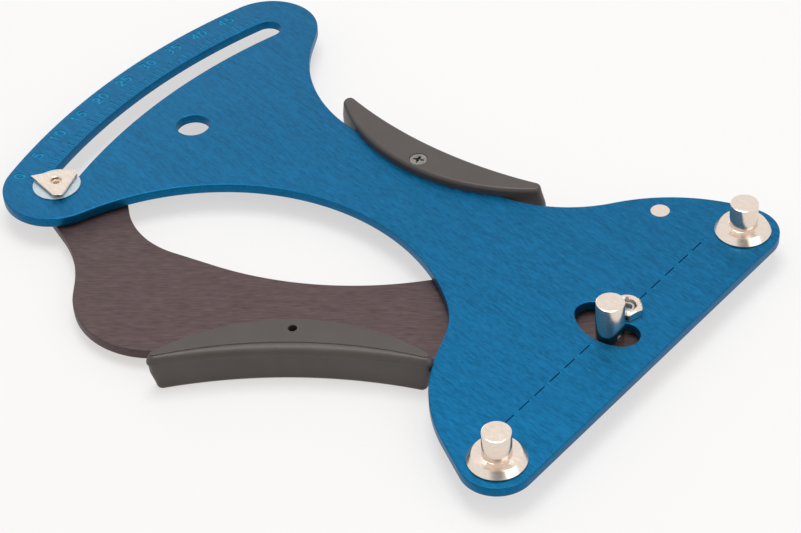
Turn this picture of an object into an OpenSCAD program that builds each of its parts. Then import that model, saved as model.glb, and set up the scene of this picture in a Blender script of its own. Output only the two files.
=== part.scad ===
// Spoke tension meter: a squeeze tool that reads the tension of a wheel spoke.
// Two flat plates turn on one pivot. The face plate carries two fixed posts and a curved
// scale, and the arm plate below it carries the moving post and the pointer. A coil spring
// under the face plate presses the moving post against the spoke, and two moulded grips
// are squeezed to open it. +Z is up, and the origin is on the pivot axis, on the bench.

/* [Plates] */
// Thickness of the face plate and of the arm plate
plate_t = 3; // [2.5:0.1:4]
// Gap between the two plates
plate_gap = 0.8; // [0.7:0.05:1.2]
// Height of the pivot screw's head, which is also how high the arm plate lies
foot_h = 2.6; // [2.4:0.1:3.5]
// Distance of the straight front edge past the post centres
end_margin = 10.4; // [9.5:0.1:13]

/* [Posts] */
// Diameter of the three posts
post_d = 8; // [7:0.1:9]
// Distance of the fixed posts' centre line from the pivot
post_x = 6.35; // [5:0.05:8]
// Position of the near fixed post along the front edge
near_post_y = -66; // [-70:0.5:-62]
// Position of the far fixed post along the front edge
far_post_y = 47.6; // [44:0.2:51]
// Height of the fixed posts above the face plate
post_h = 9.9; // [8:0.1:13]
// Diameter of the fixed posts' collar
collar_d = 16; // [14:0.2:18]
// Height of the collar
collar_h = 2.4; // [1.8:0.1:3]
// Distance of the moving post from the pivot
lever_r = 9.2; // [8.8:0.05:9.6]
// Diameter of the shanks that are riveted into the plates
shank_d = 6; // [4:0.1:6.4]

/* [Scale] */
// Radius of the scale slot about the pivot
slot_r = 176.2; // [170:0.2:182]
// Width of the scale slot
slot_w = 8.4; // [7.5:0.1:10]
// Angle of the pointer at rest, below the long axis
rest_deg = 18; // [17:0.25:19]
// Angle of the pointer with the grips squeezed, above the long axis
squeeze_deg = 14; // [12:0.25:14]
// Width of the plate outside the slot's centre line
scale_margin = 16.1; // [14:0.1:18]
// Distance of the hanging hole from the slot's centre line, towards the pivot
hang_inset = 21.2; // [20:0.2:26]
// Diameter of the hole for hanging the tool up
hang_d = 10; // [6:0.5:14]

/* [Grips] */
// Overall height of a grip, from the bench to its top
grip_h = 12; // [11.8:0.1:14]
// Distance of the grip's inner wall from its screw
grip_in = 4.2; // [3.9:0.1:4.6]
// Distance of the grip's outer wall from its screw
grip_out = 6.2; // [6:0.1:7.5]
// Diameter of the grip screws
grip_screw_d = 2.9; // [2.5:0.1:3.2]

/* [Pivot] */
// Diameter of the pivot screw's thread
pivot_thread_d = 5; // [4:0.1:5.4]
// Diameter of the pivot screw's shoulder
shoulder_d = 6; // [5.8:0.1:6.4]
// Wall of the bush on the shoulder
bush_wall = 1; // [0.8:0.05:1.2]
// Diameter of the pivot screw's head
foot_d = 11; // [9.5:0.1:13]
// Width of the pivot nut across its flats
nut_af = 8; // [7.5:0.1:9]
// Height of the pivot nut
nut_h = 2.7; // [2.2:0.1:3.5]

/* [Pointer] */
// Diameter of the slide washers at the pointer
washer_d = 13; // [11:0.1:15]
// Thickness of the slide washer on the face plate
washer_t = 0.8; // [0.5:0.05:1.2]
// Thickness of the pointer
pointer_t = 0.9; // [0.6:0.05:1.5]
// Reach of the pointer's tip beyond its screw
pointer_reach = 7.8; // [6:0.1:9]
// Diameter of the pointer screw
pointer_screw_d = 3; // [2.5:0.1:3.4]

/* [Spring] */
// Diameter of the spring's wire
wire_d = 1.1; // [0.9:0.05:1.2]
// Diameter of a curl at the middle of the wire
curl_d = 4.5; // [4.3:0.05:4.6]
// Diameter of the pin necks that hold the spring's loops
neck_d = 3; // [2.6:0.1:3.1]
// Distance of the spring's pin on the arm from the pivot
ear_r = 15; // [14.5:0.1:15.2]

/* [Clearances] */
// Gap between a fixed piece and its hole, on the radius
fit_gap = 0.05; // [0.03:0.01:0.1]
// Gap of a turning or sliding fit, on the radius and between sliding faces
run_gap = 0.05; // [0.03:0.01:0.08]
// Gap between a plate's edge and the groove in its grip
groove_gap = 0.2; // [0.1:0.05:0.4]
// Gap between the slot's wall and the guide bush
guide_gap = 0.2; // [0.1:0.05:0.3]

/* [Hidden] */
$fn = 96;
overlap = 0.01;

// Levels above the bench
arm_z = foot_h;
arm_top = arm_z + plate_t;
face_z = arm_top + plate_gap;
face_top = face_z + plate_t;

// Places in the face plate
near_post = [post_x, near_post_y];
far_post = [post_x, far_post_y];
hang_at = [hang_inset - slot_r, -9];
anchor_at = [-17.4, 41];
upper_grip_at = [-86.6, 16.2];

// Places in the arm plate, whose own frame has the pointer on the -X axis
pointer_at = [-slot_r, 0];
moving_post_deg = -102.4;
moving_post_at = lever_r * [cos(moving_post_deg), sin(moving_post_deg)];
ear_deg = 42;
ear_at = ear_r * [cos(ear_deg), sin(ear_deg)];
lower_grip_at = [-82.85, -38.2];
lower_grip_deg = 18.2;

// ---- Outlines made of arcs joined by their common tangents ----
// An arc is [x, y, r]: r is positive where the plate is inside it and negative where the
// plate goes round the outside of it. The outline runs anticlockwise.

// Direction of the normal of the tangent from arc a to arc b
function tangent_deg(a, b) =
    let (d = [b[0] - a[0], b[1] - a[1]])
    let (share = (b[2] - a[2]) / norm(d))
    atan2(d[1], d[0]) + acos(max(-1, min(1, share)));

function turn_of(a, from, to) =
    let (t = a[2] > 0 ? to - from : from - to)
    (a[2] > 0 ? 1 : -1) * (t - 360 * floor(t / 360));

// Points of one arc between the tangents to its neighbours, in the given number of steps
function arc_points(before, a, after, steps) =
    let (from = tangent_deg(before, a), turn = turn_of(a, from, tangent_deg(a, after)))
    [for (i = [0:steps]) let (t = from + turn * i / steps) [a[0] - a[2] * cos(t), a[1] - a[2] * sin(t)]];

function steps_of(before, a, after) =
    let (turn = abs(turn_of(a, tangent_deg(before, a), tangent_deg(a, after))))
    max(1, ceil(turn / (abs(a[2]) > 60 ? 2.5 : abs(a[2]) > 20 ? 4 : 8)));

function all_points(arcs) =
    let (n = len(arcs))
    [for (i = [0:n - 1])
        let (before = arcs[(i + n - 1) % n], after = arcs[(i + 1) % n])
        for (p = arc_points(before, arcs[i], after, steps_of(before, arcs[i], after))) p];

// Arcs that touch share a point, which is kept once
function outline(arcs) =
    let (points = all_points(arcs), n = len(points))
    [for (i = [0:n - 1]) if (norm(points[i] - points[(i + 1) % n]) > 0.001) points[i]];

function grown(arcs, by) = [for (a = arcs) [a[0], a[1], a[2] + by]];

function on_slot(deg) = [slot_r * cos(180 - deg), slot_r * sin(180 - deg)];

function arc_at(place, r) = [place.x, place.y, r];

// Arc of radius r on the right of the way from arc a to arc b, with these straight gaps left
// between the circles, or none where they touch
function nestled(a, b, r, gap_a, gap_b) =
    let (reach_a = abs(a[2] - r) + gap_a, reach_b = abs(b[2] - r) + gap_b)
    let (d = [b[0] - a[0], b[1] - a[1]], n = norm(d))
    let (along = (n * n + reach_a * reach_a - reach_b * reach_b) / (2 * n))
    let (aside = sqrt(reach_a * reach_a - along * along))
    [a[0] + (along * d[0] + aside * d[1]) / n, a[1] + (along * d[1] - aside * d[0]) / n, r];

near_end = arc_at(near_post, end_margin);
far_end = arc_at(far_post, end_margin);
high_corner = arc_at(on_slot(squeeze_deg), scale_margin);
low_corner = arc_at(on_slot(-rest_deg), scale_margin);
far_waist = [-64.4, 60.7, -42];
near_waist = [-59.7, -48, -28];
far_shoulder = nestled(far_waist, far_end, 55, 0, 0);
near_shoulder = nestled(near_end, near_waist, 50, 1.9, 0.2);
low_fillet = nestled(low_corner, near_waist, -70, 0.1, 0);
// The upper grip sits on this fillet, so its height stays and it only moves along
high_fillet_r = 54;
high_fillet_y = 72;
high_fillet_x = high_corner[0]
    + sqrt(pow(high_fillet_r + scale_margin + 0.3, 2) - pow(high_fillet_y - high_corner[1], 2));

face_arcs = [
    near_end,
    far_end,
    far_shoulder,
    far_waist,
    [high_fillet_x, high_fillet_y, -high_fillet_r],
    high_corner,
    [0, 0, slot_r + scale_margin],
    low_corner,
    low_fillet,
    near_waist,
    near_shoulder
];

hub_r = 10.8;
ear_rim = 3.2;
notch_r = 3;
// The notch touches both the hub and the ear
notch_deg = ear_deg + acos((pow(hub_r + notch_r, 2) + pow(ear_r, 2) - pow(ear_rim + notch_r, 2))
    / (2 * (hub_r + notch_r) * ear_r));
notch_at = (hub_r + notch_r) * [cos(notch_deg), sin(notch_deg)];
stem = [-21.8, -14.9, 30];
heel = [-127.5, -28.7, 25.6];
bay = [47.2 - slot_r, 14.8, -28];
neck = [13.5 - slot_r, -1, 9];
head = arc_at(pointer_at, 6.5);

arm_arcs = [
    arc_at(moving_post_at, 9.4),
    arc_at(ear_at, ear_rim),
    arc_at(notch_at, -notch_r),
    [0, 0, hub_r],
    stem,
    nestled(stem, bay, -97, 2.7, 1.4),
    bay,
    neck,
    head,
    nestled(head, heel, -45, 3, 0.1),
    heel
];

// ---- Shapes used by more than one piece ----

module disc(d, low, high) {
    translate([0, 0, low])
        cylinder(d = d, h = high - low);
}

// A round piece from its half section, given as [radius, height] points
module turned(section) {
    rotate_extrude()
        polygon(section);
}

module in_arm() {
    rotate([0, 0, rest_deg])
        children();
}

module at(place) {
    translate([place.x, place.y, 0])
        children();
}

// Flat cover over a ring of n points, as a ladder of triangles that starts at one point and
// goes both ways round the ring
function ladder(n, start) =
    [for (j = [0:n / 2 - 1])
        let (a = (start + j) % n, b = (start + j + 1) % n)
        let (c = (start + n - j - 1) % n, d = (start + n - j) % n)
        for (f = [[a, b, c], [a, c, d]]) if (f[0] != f[1] && f[1] != f[2] && f[2] != f[0]) f];

// Closed surface through rings of an even number of points
module skin(rings, start) {
    n = len(rings[0]);
    last = n * (len(rings) - 1);
    sides = [for (j = [0:n:last - n], i = [0:n - 1])
        let (k = (i + 1) % n)
        for (f = [[j + i, j + n + i, j + n + k], [j + i, j + n + k, j + k]]) f];
    polyhedron(
        [for (r = rings) for (p = r) p],
        concat(
            ladder(n, start),
            sides,
            [for (f = ladder(n, start)) [last + f[2], last + f[1], last + f[0]]]));
}

// ---- Plates ----

anchor_rivet_d = 5.5;
countersink_h = 0.9;

module grip_lug(d) {
    at(upper_grip_at)
        circle(d = d);
}

window_r = 9.6;
window_w = 9.4;
window_from = -138;
window_to = -61;

// A slot of even width that bends round the pivot
module bent_slot(r, w, from, to) {
    polygon(outline([
        [r * cos(from), r * sin(from), w / 2],
        [0, 0, r + w / 2],
        [r * cos(to), r * sin(to), w / 2],
        [0, 0, w / 2 - r]
    ]));
}

module face_outline(by) {
    polygon(outline(grown(face_arcs, by)));
    grip_lug(8 + 2 * by);
}

module face_plate() {
    color([0.08, 0.40, 0.65])
    difference() {
        translate([0, 0, face_z])
            linear_extrude(plate_t)
                difference() {
                    face_outline(0);
                    bent_slot(slot_r, slot_w, 180 - squeeze_deg, 180 + rest_deg);
                    bent_slot(window_r, window_w, window_from, window_to);
                }
        at(hang_at)
            disc(hang_d, face_z - 1, face_top + 1);
        for (p = [near_post, far_post])
            at(p)
                disc(shank_d + 2 * fit_gap, face_z - 1, face_top + 1);
        disc(pivot_thread_d + 2 * fit_gap, face_z - 1, face_top + 1);
        at(upper_grip_at)
            disc(grip_screw_d + 2 * fit_gap, face_z - 1, face_top + 1);
        at(anchor_at) {
            disc(anchor_shank_d + 2 * fit_gap, face_z - 1, face_top + 1);
            disc(anchor_rivet_d + 2 * fit_gap, face_top - countersink_h, face_top + 1);
        }
    }
}

module arm_plate() {
    color([0.36, 0.31, 0.31])
    in_arm()
    difference() {
        translate([0, 0, arm_z])
            linear_extrude(plate_t)
                polygon(outline(arm_arcs));
        disc(bush_d + 2 * run_gap, arm_z - 1, arm_top + 1);
        at(moving_post_at) {
            disc(shank_d + 2 * fit_gap, arm_z - 1, arm_top + 1);
            disc(tail_d + 2 * fit_gap, arm_z - 1, arm_z + countersink_h);
        }
        at(ear_at)
            disc(pin_shank_d + 2 * fit_gap, arm_z - 1, arm_top + 1);
        at(lower_grip_at)
            disc(grip_screw_d + 2 * fit_gap, arm_z - 1, arm_top + 1);
        at(pointer_at)
            disc(pointer_screw_d + 2 * fit_gap, arm_z - 1, arm_top + 1);
    }
}

// ---- Posts, riveted into the plates ----

post_chamfer = 0.3;
tail_d = 7.4;
tail_h = 1;
collar_top_d = collar_d - 2.7;
collar_rim = 0.5;

module fixed_post() {
    turned([
        [0, face_z - tail_h],
        [tail_d / 2 - 0.6, face_z - tail_h],
        [tail_d / 2, face_z - 0.4],
        [tail_d / 2, face_z],
        [shank_d / 2, face_z],
        [shank_d / 2, face_top],
        [collar_d / 2, face_top],
        [collar_d / 2, face_top + collar_rim],
        [collar_top_d / 2, face_top + collar_h],
        [post_d / 2, face_top + collar_h],
        [post_d / 2, face_top + post_h - post_chamfer],
        [post_d / 2 - post_chamfer, face_top + post_h],
        [0, face_top + post_h]
    ]);
}

module near_post() {
    color([0.86, 0.82, 0.77])
        at(near_post)
            fixed_post();
}

module far_post() {
    color([0.86, 0.82, 0.77])
        at(far_post)
            fixed_post();
}

moving_post_rise = 0.4;

module moving_post() {
    top = face_top + post_h + moving_post_rise;
    color([0.86, 0.82, 0.77])
    in_arm()
    at(moving_post_at)
    turned([
        [0, arm_z],
        [tail_d / 2, arm_z],
        [tail_d / 2, arm_z + countersink_h],
        [shank_d / 2, arm_z + countersink_h],
        [shank_d / 2, arm_top],
        [post_d / 2, arm_top],
        [post_d / 2, top - post_chamfer],
        [post_d / 2 - post_chamfer, top],
        [0, top]
    ]);
}

// ---- Grips: one moulding used twice, the lower one turned over ----

grip_in_r = 60;
grip_out_r = 115;
grip_tip_r = 2;
grip_draft = 0.3;
tip_steps = 6;
wall_steps = 24;

function all_but_last(points) = [for (i = [0:len(points) - 2]) points[i]];

// Plan of the grip with its inner wall, outer wall and tips drawn in. The tips are circles
// that touch both walls, and their centres follow from that.
function grip_plan(inset_in, inset_out, tip_r) =
    let (a = grip_in_r - inset_in - tip_r)
    let (b = grip_out_r + inset_out + tip_r)
    let (ya = grip_in_r - grip_in, yb = grip_out_r + grip_out)
    let (y = (a * a - b * b + yb * yb - ya * ya) / (2 * (yb - ya)))
    let (x = sqrt(a * a - (y - ya) * (y - ya)))
    let (left = [-x, y, tip_r], inner = [0, ya, a + tip_r])
    let (right = [x, y, tip_r], outer = [0, yb, -(b - tip_r)])
    concat(
        all_but_last(arc_points(outer, left, inner, tip_steps)),
        all_but_last(arc_points(left, inner, right, wall_steps)),
        all_but_last(arc_points(inner, right, outer, tip_steps)),
        all_but_last(arc_points(right, outer, left, wall_steps)));

// Section of the grip as [height, inset of inner wall, inset of outer wall, tip radius].
// The side with the flat crescent and the round bead is down, and the screw's head is up.
grip_section = [
    [0, 0.9, 3.3, 0.8],
    [0.5, 0.5, 3.1, 1],
    [0.55, 0.4, 2.3, 1.3],
    [0.9, 0.3, 1.3, 1.5],
    [1.7, 0.2, 0.5, 1.7],
    [3, 0.1, 0.1, 1.9],
    [4.5, 0, 0, 2],
    [grip_h - 2.4, grip_draft, 0.1, 2],
    [grip_h - 1.2, grip_draft + 0.3, 0.4, 1.7],
    [grip_h - 0.4, grip_draft + 0.8, 0.9, 1.3],
    [grip_h, grip_draft + 1.5, 1.6, 0.9]
];

screw_head_d = 5.2;
screw_head_h = 1.7;
screw_sink = 0.2;
screw_end = 1.6;

module grip_body() {
    difference() {
        skin(
            [for (s = grip_section) [for (p = grip_plan(s[1], s[2], s[3])) [p.x, p.y, s[0]]]],
            tip_steps / 2);
        disc(grip_screw_d + 2 * fit_gap, -1, grip_h + 1);
        translate([0, 0, grip_h - screw_sink - screw_head_h])
            cylinder(
                d1 = grip_screw_d + 2 * fit_gap,
                d2 = screw_head_d + 2 * fit_gap,
                h = screw_head_h);
        disc(screw_head_d + 2 * fit_gap, grip_h - screw_sink - overlap, grip_h + 1);
    }
}

module grip_screw() {
    top = grip_h - screw_sink;
    difference() {
        turned([
            [0, screw_end - 0.6],
            [0.6, screw_end - 0.6],
            [grip_screw_d / 2, screw_end],
            [grip_screw_d / 2, top - screw_head_h],
            [screw_head_d / 2, top],
            [0, top]
        ]);
        for (t = [0, 90])
            rotate([0, 0, t + 20])
                translate([-1.3, -0.3, top - 0.9])
                    cube([2.6, 0.6, 1]);
    }
}

module as_upper_grip() {
    at(upper_grip_at)
        children();
}

module as_lower_grip() {
    in_arm()
        at(lower_grip_at)
            rotate([0, 0, lower_grip_deg])
                translate([0, 0, grip_h])
                    rotate([180, 0, 0])
                        children();
}

module upper_grip() {
    color([0.25, 0.24, 0.23])
    difference() {
        as_upper_grip()
            grip_body();
        translate([0, 0, face_z - fit_gap])
            linear_extrude(plate_t + 2 * fit_gap)
                face_outline(groove_gap);
    }
}

module lower_grip() {
    color([0.25, 0.24, 0.23])
    difference() {
        as_lower_grip()
            grip_body();
        translate([0, 0, arm_z - fit_gap])
            linear_extrude(plate_t + 2 * fit_gap)
                rotate(rest_deg)
                    polygon(outline(grown(arm_arcs, groove_gap)));
    }
}

module upper_grip_screw() {
    color([0.75, 0.73, 0.70])
        as_upper_grip()
            grip_screw();
}

module lower_grip_screw() {
    color([0.75, 0.73, 0.70])
        as_lower_grip()
            grip_screw();
}

// ---- Pivot ----

bush_d = shoulder_d + 2 * fit_gap + 2 * bush_wall;
bush_flange_d = min(bush_d + 1.6, 2 * window_r - window_w);
screw_recess = 1;

module pivot_screw() {
    end = face_top + nut_h - screw_recess;
    color([0.72, 0.72, 0.72])
    turned([
        [0, 0],
        [foot_d / 2 - 0.5, 0],
        [foot_d / 2, 0.5],
        [foot_d / 2, arm_z - run_gap],
        [shoulder_d / 2, arm_z - run_gap],
        [shoulder_d / 2, face_z],
        [pivot_thread_d / 2, face_z],
        [pivot_thread_d / 2, end - 0.4],
        [pivot_thread_d / 2 - 0.4, end],
        [0, end]
    ]);
}

// Flanged bush: the arm plate turns on its barrel and the flange keeps the plates apart
module pivot_bush() {
    color([0.72, 0.52, 0.28])
    difference() {
        union() {
            disc(bush_d, arm_z - run_gap, face_z);
            disc(bush_flange_d, arm_top + run_gap, face_z);
        }
        disc(shoulder_d + 2 * fit_gap, 0, face_z + 1);
    }
}

module pivot_nut() {
    color([0.88, 0.85, 0.80])
    difference() {
        intersection() {
            translate([0, 0, face_top])
                rotate([0, 0, 12])
                    cylinder(d = nut_af / cos(30), h = nut_h, $fn = 6);
            turned([
                [0, face_top],
                [nut_af / 2 + 0.35, face_top],
                [nut_af / 2 + 0.35, face_top + nut_h - 0.6],
                [nut_af / 2 - 0.25, face_top + nut_h],
                [0, face_top + nut_h]
            ]);
        }
        disc(pivot_thread_d + 2 * fit_gap, face_top - 1, face_top + nut_h + 1);
    }
}

// ---- Spring and what holds it ----

spring_z = 3.3;
pin_head_top = 0.95;
pin_loop_z = (pin_head_top + arm_z) / 2;
pin_head_z = 0.3;
pin_head_d = neck_d + 2.2;
pin_shank_d = neck_d;
anchor_shank_d = 4;
anchor_seat = spring_z + wire_d / 2 + 0.15;
clip_top = spring_z - wire_d / 2 - 0.15;
clip_t = 0.5;
anchor_end = 0.8;
clip_d = neck_d + 3;
groove_d = neck_d - 0.8;

module spring_anchor() {
    color([0.88, 0.85, 0.80])
        at(anchor_at)
            turned([
                [0, anchor_end],
                [neck_d / 2 - 0.3, anchor_end],
                [neck_d / 2, anchor_end + 0.3],
                [neck_d / 2, clip_top - clip_t],
                [groove_d / 2, clip_top - clip_t],
                [groove_d / 2, clip_top],
                [neck_d / 2, clip_top],
                [neck_d / 2, anchor_seat],
                [neck_d / 2 + 1.2, anchor_seat],
                [neck_d / 2 + 1.2, face_z],
                [anchor_shank_d / 2, face_z],
                [anchor_shank_d / 2, face_top - countersink_h],
                [anchor_rivet_d / 2, face_top - countersink_h],
                [anchor_rivet_d / 2, face_top],
                [0, face_top]
            ]);
}

// Open retaining clip that snaps into the anchor's groove
module spring_clip() {
    low = clip_top - clip_t + fit_gap;
    color([0.35, 0.35, 0.36])
    at(anchor_at)
    rotate([0, 0, spring_deg])
    difference() {
        disc(clip_d, low, clip_top - fit_gap);
        disc(groove_d + 2 * fit_gap, low - 1, clip_top + 1);
        translate([0, -groove_d / 2 + 0.1, low - 1])
            cube([clip_d, groove_d - 0.2, clip_t + 2]);
    }
}

module spring_pin() {
    color([0.75, 0.74, 0.72])
    in_arm()
    at(ear_at)
    turned([
        [0, pin_head_z],
        [pin_head_d / 2, pin_head_z],
        [pin_head_d / 2, pin_head_top],
        [neck_d / 2, pin_head_top],
        [neck_d / 2, arm_z],
        [pin_shank_d / 2, arm_z],
        [pin_shank_d / 2, arm_top],
        [0, arm_top]
    ]);
}

// The spring runs from the arm's pin to the anchor. Its path is worked out along the line
// between them: x is the way along, y is sideways and z is up.
pin_rest = ear_r * [cos(ear_deg + rest_deg), sin(ear_deg + rest_deg)];
spring_run = anchor_at - pin_rest;
spring_len = norm(spring_run);
spring_deg = atan2(spring_run.y, spring_run.x);
curl_r = curl_d / 2;
tail_len = 2;
curls_from = 5.2;
curls_to = spring_len - curls_from;
curl_gap = 0.45;
start_deg = -asin(min(1, (spring_z - pin_loop_z) / curl_r));
ease_deg = 90;
whole_curls = floor((curls_to - curls_from) / (wire_d + curl_gap) - 1);
curl_turn = 360 * whole_curls + 180 - start_deg - 2 * ease_deg;
rings_per_curl = 8;
curl_rings = ceil(curl_turn / 360 * rings_per_curl);
loop_sweep = 250;
loop_rings = 14;
ease_rings = 5;

function on_curl(s, deg) = [s, curl_r * cos(deg), spring_z + curl_r * sin(deg)];

// Hook round the arm's pin, ending sideways of it and heading along the spring
pin_loop = [for (i = [0:loop_rings])
    let (t = 90 + loop_sweep * (1 - i / loop_rings))
    [curl_r * cos(t), curl_r * sin(t), pin_loop_z]];
// The wire leaves the hook straight, then rolls up into the curls
lead_in = [for (i = [0:ease_rings - 1])
    let (u = i / ease_rings)
    let (along = tail_len + (curls_from - tail_len) * (1 - (1 - u) * (1 - u)))
    let (p = on_curl(along, start_deg + ease_deg * u * u))
    p + [0, (curl_r - curl_r * cos(start_deg)) * (1 - u) * (1 - u) * (1 - u), 0]];
curls = [for (i = [0:curl_rings])
    let (u = i / curl_rings)
    on_curl(curls_from + (curls_to - curls_from) * u, start_deg + ease_deg + curl_turn * u)];
lead_out = [for (i = [1:ease_rings])
    let (u = i / ease_rings)
    on_curl(
        curls_to + (curls_from - tail_len) * u * u,
        start_deg + ease_deg + curl_turn + ease_deg * (1 - (1 - u) * (1 - u)))];
anchor_loop = [for (i = [0:loop_rings])
    let (t = -90 + loop_sweep * i / loop_rings)
    [spring_len + curl_r * cos(t), curl_r * sin(t), spring_z]];
spring_path = concat(pin_loop, lead_in, curls, lead_out, anchor_loop);

// Least clear gap between stretches of wire that aren't neighbours
function wire_gap(path, apart) =
    let (last = len(path) - 1)
    min([for (i = [0:last - apart], j = [i + apart:last]) norm(path[i] - path[j])]) - wire_d;

echo(curls = curl_turn / 360, least_gap_of_the_wire = wire_gap(spring_path, 6));

function unit(v) = v / norm(v);
function heading(path, i) = unit(path[min(i + 1, len(path) - 1)] - path[max(i - 1, 0)]);
function across(v, t) = unit(v - (v * t) * t);

wire_sides = 6;

module return_spring() {
    normals = [for (i = 0, n = across([0, 0, 1], heading(spring_path, 0)); i < len(spring_path);
        i = i + 1, n = across(n, heading(spring_path, min(i, len(spring_path) - 1)))) n];
    color([0.62, 0.62, 0.64])
    at(pin_rest)
    rotate([0, 0, spring_deg])
    skin([for (i = [0:len(spring_path) - 1])
        let (n = normals[i], b = cross(heading(spring_path, i), n))
        [for (k = [0:wire_sides - 1])
            let (t = 360 * k / wire_sides)
            spring_path[i] + wire_d / 2 * (cos(t) * n - sin(t) * b)]], 0);
}

// ---- Pointer and the stack that it slides on ----

stack_low = face_z - run_gap;
stack_high = face_top + run_gap;
pointer_z = stack_high + washer_t;
pointer_head_d = 6.4;
pointer_head_h = 1.9;

module lower_slide_washer() {
    color([0.80, 0.86, 0.90])
    in_arm()
    at(pointer_at)
    difference() {
        disc(washer_d, arm_top, stack_low);
        disc(pointer_screw_d + 2 * fit_gap, arm_top - 1, stack_low + 1);
    }
}

module guide_bush() {
    color([0.80, 0.86, 0.90])
    in_arm()
    at(pointer_at)
    difference() {
        disc(slot_w - 2 * guide_gap, stack_low, stack_high);
        disc(pointer_screw_d + 2 * fit_gap, stack_low - 1, stack_high + 1);
    }
}

module upper_slide_washer() {
    color([0.80, 0.86, 0.90])
    in_arm()
    at(pointer_at)
    difference() {
        disc(washer_d, stack_high, pointer_z);
        disc(pointer_screw_d + 2 * fit_gap, stack_high - 1, pointer_z + 1);
    }
}

// Three-cornered pointer with its tip on the scale. A small tab at one corner is turned down
// over the washer's edge.
pointer_back = 4.25;
pointer_half = 5.75;
pointer_shift = -0.85;
tab_in = washer_d / 2 + 0.2;
tab_w = 1.6;

module pointer() {
    corner = [pointer_back, pointer_shift - pointer_half];
    color([0.90, 0.86, 0.81])
    in_arm()
    at(pointer_at) {
        difference() {
            translate([0, 0, pointer_z])
                linear_extrude(pointer_t)
                    polygon([
                        [-pointer_reach, pointer_shift - 0.3],
                        corner + [-0.8, 0.4],
                        corner + [0, 1.2],
                        [pointer_back, pointer_shift + pointer_half],
                        [-pointer_reach, pointer_shift + 0.3]
                    ]);
            disc(pointer_screw_d + 2 * fit_gap, pointer_z - 1, pointer_z + pointer_t + 1);
        }
        rotate([0, 0, atan2(corner.y, corner.x)])
            translate([tab_in, -tab_w / 2, stack_high + 0.1])
                cube([0.7, tab_w, washer_t - 0.1 + pointer_t]);
    }
}

module pointer_screw() {
    top = pointer_z + pointer_t - 0.3;
    color([0.75, 0.74, 0.72])
    in_arm()
    at(pointer_at)
    turned([
        [0, arm_z - pointer_head_h],
        [pointer_head_d / 2 - 0.6, arm_z - pointer_head_h],
        [pointer_head_d / 2, arm_z - pointer_head_h + 0.6],
        [pointer_head_d / 2, arm_z],
        [pointer_screw_d / 2, arm_z],
        [pointer_screw_d / 2, top],
        [0, top]
    ]);
}

face_plate();
near_post();
far_post();
upper_grip();
upper_grip_screw();
pivot_screw();
pivot_bush();
pivot_nut();
spring_anchor();
spring_clip();
return_spring();
arm_plate();
moving_post();
lower_grip();
lower_grip_screw();
spring_pin();
pointer_screw();
lower_slide_washer();
guide_bush();
upper_slide_washer();
pointer();
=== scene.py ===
# %% [markdown]
# A spoke tension meter: two flat plates on one pivot, three bright posts, two moulded grips,
# a pointer on a curved scale and a coil spring underneath. The imported model gives the bodies
# and their places. It is loaded first. The finished pieces have to stay inside it.

# %% Load the imported model
import bmesh
import bpy
import mathutils
import numpy as np
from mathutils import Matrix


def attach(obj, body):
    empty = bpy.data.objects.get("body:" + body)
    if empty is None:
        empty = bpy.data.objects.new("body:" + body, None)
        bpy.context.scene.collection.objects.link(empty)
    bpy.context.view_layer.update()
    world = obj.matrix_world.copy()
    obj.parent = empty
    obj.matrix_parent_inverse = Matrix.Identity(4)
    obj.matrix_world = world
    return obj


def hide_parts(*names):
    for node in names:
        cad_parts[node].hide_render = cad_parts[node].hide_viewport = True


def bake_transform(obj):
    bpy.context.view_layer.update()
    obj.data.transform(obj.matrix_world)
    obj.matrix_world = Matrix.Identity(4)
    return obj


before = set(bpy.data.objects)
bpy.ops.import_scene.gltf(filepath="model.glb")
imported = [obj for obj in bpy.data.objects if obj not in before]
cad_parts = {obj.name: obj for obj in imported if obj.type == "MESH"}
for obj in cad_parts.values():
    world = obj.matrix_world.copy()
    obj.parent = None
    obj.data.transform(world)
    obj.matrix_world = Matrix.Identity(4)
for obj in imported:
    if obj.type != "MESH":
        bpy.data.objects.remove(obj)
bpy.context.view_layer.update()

MM = 0.001

# %% [markdown]
# The camera comes from the photograph. The scale slot is a circle about the pivot, and the
# collars, posts and hanging hole are circles too, so fitting these fixes where the camera
# stood. It is rolled a little, so its axes are worked out: look along the sight line,
# take right and up from it, then turn both by the roll.

# %% Camera
CAMERA_AT = np.array([264.7, -386.7, 427.4]) * MM
LOOK_AT = np.array([-61.7, -22.4, 9.4]) * MM
ROLL = np.radians(3.497)
SENSOR = 36
FOCAL_PIXELS, PHOTO_WIDTH = 2290.2, 801

sight = LOOK_AT - CAMERA_AT
sight = sight / np.linalg.norm(sight)
level = np.cross(sight, [0, 0, 1])
level = level / np.linalg.norm(level)
upright = np.cross(level, sight)
right = np.cos(ROLL) * level - np.sin(ROLL) * upright
up = np.cos(ROLL) * upright + np.sin(ROLL) * level

camera = bpy.data.objects.new("camera", bpy.data.cameras.new("camera"))
camera.matrix_world = mathutils.Matrix([
    [right[i], up[i], -sight[i], CAMERA_AT[i]] for i in range(3)] + [[0, 0, 0, 1]])
camera.data.sensor_width = SENSOR
camera.data.lens = FOCAL_PIXELS * SENSOR / PHOTO_WIDTH
camera.data.clip_start = 0.01
camera.data.clip_end = 20
bpy.context.collection.objects.link(camera)
scene = bpy.context.scene
scene.camera = camera
scene.view_settings.view_transform = "Standard"
print("lens", round(camera.data.lens, 1), "mm")

# %% [markdown]
# Every material is a small tree of nodes, so a few helpers set up the kinds that come again
# and again. One of them tells what is seen from what is only lit, because a bright world that
# the camera and the metal see may throw less light than it shows.

# %% Helpers for nodes
def set_sockets(node, **values):
    """The node with constants on its sockets, by their names with _ for a space."""
    for name, value in values.items():
        node.inputs[name.replace("_", " ")].default_value = value
    return node


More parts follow.
